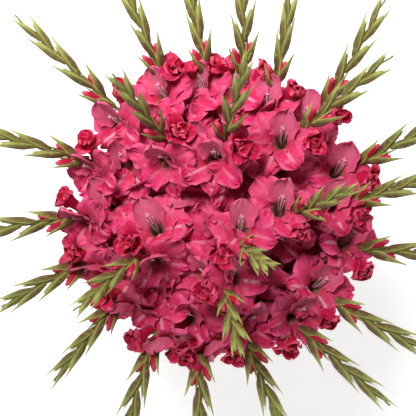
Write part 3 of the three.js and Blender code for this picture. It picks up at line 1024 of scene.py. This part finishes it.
class GLADIOLUS_OT_buds(bpy.types.Operator):
    """Adds every spike's rachis with its bracts and buds"""

    bl_idname = "gladiolus.buds"
    bl_label = "Buds and bracts"

    def execute(self, context):
        sizes, colours = settings_of(context)
        rng = np.random.default_rng(SEED + 1)
        spikes = Spikes()
        materials = [bract_finish(colours), opening_finish(colours), stem_finish(colours)]
        kinds = {}
        first = 0
        carried = {"open": OPEN, "opening": OPENING, "coloured": COLOURED, "green": GREEN}
        for key, kind in carried.items():
            kinds[key] = (growth(spikes, kind, first), kind)
            first += len(kind["places"])

        for i, node_name in enumerate(SPIKE_NODES):
            solid = Solid()
            self.add_rachis(solid, spikes, i, sizes)
            for key, (values, kind) in kinds.items():
                number = len(kind["places"])
                roots, along, axis, side = part_of(values, i, number)
                size = np.array(kind["sizes"])
                tone = rng.uniform(0, 1, number)
                axis = unit(axis + spread(rng, (number, 3), 0.07))
                if key in ("open", "opening"):
                    self.add_calyx(solid, roots, along, side, size, tone, sizes)
                elif key == "coloured":
                    self.add_coloured(solid, roots, axis, side, size, tone, sizes)
                else:
                    self.add_green(solid, roots, axis, side, size, tone, sizes)
            solid.build(numbered("buds", i), materials, [node_name])
        return {"FINISHED"}

    @staticmethod
    def add_rachis(solid, spikes, i, sizes):
        """The rachis, which steps aside at every bud and tapers to the tip."""
        share = np.linspace(0, 0.985, 56)
        points, along = spikes.at(np.tile(share, (len(spikes.length), 1)))
        face = unit(UP - along[i] * along[i][:, 2:])
        flank = np.cross(along[i], face)
        zigzag = 1.2 * MM * np.sin(math.pi * share * 19) * ease(share, 0.0, 0.1)
        path = points[i] + flank * zigzag[:, None]
        radii = sizes.rachis_radius + (0.86 * sizes.stem_radius - sizes.rachis_radius) * (1 - share)
        add_tubes(solid, path[None], radii[None], 10, EAST, 2)

    @staticmethod
    def add_calyx(solid, roots, along, side, size, tone, sizes):
        """The two bracts at the foot of a floret, one outside and one towards the rachis."""
        length = sizes.bract_length * 0.6 * size
        girth = sizes.bract_girth * 0.85 * size
        shade = shades(0, 0, tone)
        outer = unit(0.8 * along + 0.6 * side)
        add_bracts(solid, roots, outer, side, length, girth, 0, shade, wrap=1.7, curl=0.2)
        inner = unit(0.8 * along + 0.45 * side)
        add_bracts(solid, roots, inner, -side, 0.7 * length, 0.85 * girth, 0, shade, wrap=1.5, curl=0.05)

    @staticmethod
    def add_coloured(solid, roots, axis, side, size, tone, sizes):
        """A coloured bud that stands out of its two parted bracts."""
        length = sizes.bud_length * np.linspace(1.08, 0.8, len(size))
        girth = sizes.bud_girth * size
        shade = shades(0, 0, tone)
        deep = shades(0, 0.5, 0.5 * tone)
        add_spindles(solid, roots, axis, side, length, girth, 1, deep, wind=0.55, waist=0.66, blunt=0.8)
        length = sizes.bract_length * 0.88 * size
        girth = 1.15 * sizes.bract_girth * size
        outer = unit(axis + 0.04 * side)
        add_bracts(solid, roots, outer, side, length, girth, 0, shade, wrap=2.0, curl=0.06)
        inner = unit(axis - 0.06 * side)
        add_bracts(solid, roots, inner, -side, 0.85 * length, 0.9 * girth, 0, shade, wrap=1.7)

    @staticmethod
    def add_green(solid, roots, axis, side, size, tone, sizes):
        """A green bud closed in its bracts: the outer one clasps a spindle, the inner one."""
        length = sizes.bract_length * size
        girth = sizes.bract_girth * size**1.3
        young = np.linspace(0.1, 1.0, len(size))
        shade = shades(young, 0, tone)
        inner = shades(np.minimum(young + 0.25, 1), 0, tone)
        within = 0.68 * girth
        add_spindles(solid, roots, axis, side, 0.74 * length, within, 0, inner, waist=0.4, blunt=0.89)
        add_bracts(solid, roots, axis, side, length, girth, 0, shade, wrap=1.9, curl=0.035)
        within = 0.9 * girth
        add_bracts(solid, roots, axis, -side, 0.84 * length, within, 0, inner, wrap=1.5, curl=0.02)


class GLADIOLUS_OT_stems(bpy.types.Operator):
    """Adds the stems, each cut level with the ground"""

    bl_idname = "gladiolus.stems"
    bl_label = "Stems"

    def execute(self, context):
        sizes, colours = settings_of(context)
        rng = np.random.default_rng(SEED + 2)
        materials = [stem_finish(colours), cut_finish(colours)]
        rings, sides = 60, 18
        share = np.linspace(0, 1, rings)
        ribs = 1 + 0.02 * np.cos(6 * 2 * math.pi * np.arange(sides) / sides)
        for i, name in enumerate(STEM_NODES):
            line, slope = stem_line(name, rings)
            radii = sizes.stem_radius * (1 - 0.14 * share)
            for scar in rng.uniform(0.12, 0.8, 2):
                radii = radii * (1 + 0.09 * np.exp(-(((share - scar) / 0.006) ** 2)))
            section = np.broadcast_to(ribs, (rings, sides))
            solid = Solid()
            add_tubes(
                solid, line[None], radii[None], sides, EAST, 0, section=section
            )
            points = solid.points[0]
            foot = points[:sides]
            foot -= slope[0] * (foot[:, 2:] / slope[0][2])
            solid.slots[1][0] = 1
            solid.build(numbered("stalk", i), materials, [name])
        return {"FINISHED"}


class GLADIOLUS_OT_leaves(bpy.types.Operator):
    """Adds the sword leaves that grow from the outer stems"""

    bl_idname = "gladiolus.leaves"
    bl_label = "Leaves"

    def execute(self, context):
        sizes, colours = settings_of(context)
        rng = np.random.default_rng(SEED + 3)
        material = leaf_finish(colours)
        stems = np.vstack([stem_line(name, 400)[0] for name in STEM_NODES])
        for i, name in enumerate(LEAF_NODES):
            solid = Solid()
            self.add_blade(solid, node_points(name), sizes, stems, rng)
            solid.build(numbered("blade", i), [material], [name])
        return {"FINISHED"}

    @staticmethod
    def add_blade(solid, points, sizes, stems, rng):
        """A blade along the quadratic middle of its CAD plate, which slowly twists to its tip.

        In the plate's plane, x runs from foot to tip and y is the least-squares parabola
        through its outline. Near the foot that middle bends over until it lies on the skin of
        the nearest stem. The half width swells from a pointed foot and falls to a point.
        """
        tie = tie_middle()
        far = np.linalg.norm(points - tie, axis=1)
        foot, tip = points[np.argmin(far)], points[np.argmax(far)]
        ahead = unit(tip - foot)
        normal = np.linalg.svd(points - points.mean(axis=0))[2][2]
        aside = np.cross(normal, ahead)
        x, y = (points - foot) @ ahead, (points - foot) @ aside
        parabola = np.polyfit(x, y, 2)
        rows, columns = 34, 9
        v = np.linspace(0, 1, rows)
        reach = v * x.max()
        middle = foot + reach[:, None] * ahead + np.polyval(parabola, reach)[:, None] * aside
        core = stems[np.argmin(np.linalg.norm(stems - middle[0], axis=1))]
        skin = core + 0.8 * sizes.stem_radius * unit(middle[0] - core)
        middle = middle + (1 - ease(v, 0, 0.2))[:, None] * (skin - middle[0])
        forward = unit(np.gradient(middle, axis=0))
        swell = 0.1 + 0.9 * ease(v, 0, 0.3)
        half = 0.5 * sizes.leaf_width * swell * np.sqrt(1 - 0.995 * ease(v, 0.35, 1))
        twist = rng.uniform(0.7, 1.3) * rng.choice([-1, 1]) * ease(v, 0.15, 1)
        flat = np.cross(normal, forward)
        wide = np.cos(twist)[:, None] * flat + np.sin(twist)[:, None] * normal
        over = np.cross(forward, wide)
        u = np.linspace(-1, 1, columns)
        fold = 1.5 * MM * ease(v, 0, 0.15)[:, None] * (u[None] ** 2 - 0.4)
        sheet = middle[:, None] + (half[:, None] * u)[..., None] * wide[:, None]
        sheet = sheet + fold[..., None] * over[:, None]
        faces, uvs = sheet_pattern(rows, columns)
        solid.add(sheet_points(sheet[None], LEAF_THICKNESS), faces, uvs, 0, (0, 0, 0))


class GLADIOLUS_OT_binding(bpy.types.Operator):
    """Adds the twine wound round the stems at the tie"""

    bl_idname = "gladiolus.binding"
    bl_label = "Binding"

    def execute(self, context):
        sizes, colours = settings_of(context)
        low, high = (np.array(corner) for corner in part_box("binding"))
        middle = (low + high) / 2
        radius = (high[0] - low[0]) / 2 - sizes.twine_radius
        rings = 60 * TWINE_TURNS
        share = np.linspace(0, 1, rings)
        angle = 2 * math.pi * TWINE_TURNS * share
        lift = (high[2] - low[2]) / 2 - sizes.twine_radius
        waver = 0.5 * MM * np.sin(5 * angle / 3)
        path = np.stack(
            [
                middle[0] + (radius + waver) * np.cos(angle),
                middle[1] + (radius + waver) * np.sin(angle),
                middle[2] + lift * (2 * share - 1) + 0.4 * MM * np.sin(angle * 1.7),
            ],
            axis=1,
        )
        solid = Solid()
        sides = 12
        lay = 3 * (np.arange(sides)[None] / sides) + angle[:, None] * radius / (5.5 * MM) / (2 * math.pi)
        strands = 0.86 + 0.16 * np.abs(np.sin(math.pi * lay))
        radii = np.full((1, rings), sizes.twine_radius)
        add_tubes(solid, path[None], radii, sides, UP, 0, section=strands)
        solid.build("twine", [twine_finish(colours)], ["binding"])
        return {"FINISHED"}


class GLADIOLUS_OT_studio(bpy.types.Operator):
    """Adds the floor, the light and the camera above the bunch"""

    bl_idname = "gladiolus.studio"
    bl_label = "Studio"

    def execute(self, context):
        studio = context.scene.gladiolus_studio
        colours = context.scene.gladiolus_colours
        scene = context.scene
        scene.view_settings.view_transform = "Standard"

        mesh = bpy.data.meshes.new("studio_cove")
        mesh.from_pydata(*self.cove())
        mesh.shade_smooth()
        white = (*colours.floor, 1)
        glow = studio.floor_glow
        material = finish(
            "matt white floor",
            Roughness=0.9,
            Base_Color=white,
            Emission_Color=white,
            Emission_Strength=glow,
        )[0]
        mesh.materials.append(material)
        floor = bpy.data.objects.new("studio_cove", mesh)
        scene.collection.objects.link(floor)

        world = bpy.data.worlds.new("white surround")
        world.use_nodes = True
        background = world.node_tree.nodes["Background"]
        background.inputs["Color"].default_value = (*colours.floor, 1)
        background.inputs["Strength"].default_value = studio.world_strength
        scene.world = world

        lamp = bpy.data.lights.new("key", "SPOT")
        lamp.spot_size = KEY_CONE
        lamp.spot_blend = 1.0
        lamp.shadow_soft_size = KEY_SOFTNESS
        lamp.energy = studio.key_power
        key = bpy.data.objects.new("key", lamp)
        key.location = KEY_PLACE
        key.rotation_euler = KEY_TURN
        scene.collection.objects.link(key)

        lens = bpy.data.cameras.new("camera")
        lens.lens = studio.lens
        lens.sensor_width = 36
        camera = bpy.data.objects.new("camera", lens)
        camera.location = (*CAMERA_CENTRE, studio.camera_height)
        scene.collection.objects.link(camera)
        scene.camera = camera
        return {"FINISHED"}

    @staticmethod
    def cove():
        """Points and faces of a round floor that curves up into a low wall.

        The profile runs out level to the bend, through a quarter circle, and up to the top. It
        is turned round z, and its first ring is closed by one face.
        """
        flat, bend, top = 9.0, 1.5, 5.0
        turn = np.linspace(0, math.pi / 2, 9)
        radius = np.concatenate([[1.0, 3.0], flat + bend * np.sin(turn), [flat + bend]])
        height = np.concatenate([[0.0, 0.0], bend * (1 - np.cos(turn)), [top]]) - 0.5 * MM
        sides = 64
        angle = 2 * math.pi * np.arange(sides) / sides
        round_it = np.stack([np.cos(angle), np.sin(angle), 1 + 0 * angle], axis=-1)
        points = np.stack([radius, radius, height], axis=-1)[:, None] * round_it
        faces = tube_pattern(len(radius), sides)[0][:, ::-1].tolist()
        return points.reshape(-1, 3).tolist(), [], faces + [list(range(sides))]


STEPS = (
    GLADIOLUS_OT_stems,
    GLADIOLUS_OT_leaves,
    GLADIOLUS_OT_binding,
    GLADIOLUS_OT_buds,
    GLADIOLUS_OT_florets,
    GLADIOLUS_OT_studio,
)


class GLADIOLUS_PT_panel(bpy.types.Panel):
    """Lists the steps that build the bunch, and their settings"""

    bl_label = "Cut gladioli"
    bl_idname = "GLADIOLUS_PT_panel"
    bl_space_type = "VIEW_3D"
    bl_region_type = "UI"
    bl_category = "Gladioli"

    def draw(self, context):
        for step in STEPS:
            self.layout.operator(step.bl_idname)
        for group in ("gladiolus_sizes", "gladiolus_colours", "gladiolus_studio"):
            settings = getattr(context.scene, group)
            for name in settings.__annotations__:
                self.layout.prop(settings, name)


GROUPS = (GladiolusColours, GladiolusSizes, GladiolusStudio)


def register():
    """Registers the settings, the operators and the panel."""
    for kind in GROUPS + STEPS + (GLADIOLUS_PT_panel,):
        bpy.utils.register_class(kind)
    bpy.types.Scene.gladiolus_colours = bpy.props.PointerProperty(type=GladiolusColours)
    bpy.types.Scene.gladiolus_sizes = bpy.props.PointerProperty(type=GladiolusSizes)
    bpy.types.Scene.gladiolus_studio = bpy.props.PointerProperty(type=GladiolusStudio)


def unregister():
    """Takes the panel, the operators and the settings away again."""
    del bpy.types.Scene.gladiolus_studio
    del bpy.types.Scene.gladiolus_sizes
    del bpy.types.Scene.gladiolus_colours
    for kind in reversed(GROUPS + STEPS + (GLADIOLUS_PT_panel,)):
        bpy.utils.unregister_class(kind)


def main():
    """Builds every piece in order."""
    register()
    for step in STEPS:
        group, action = step.bl_idname.split(".")
        getattr(getattr(bpy.ops, group), action)()


if __name__ == "__main__":
    main()
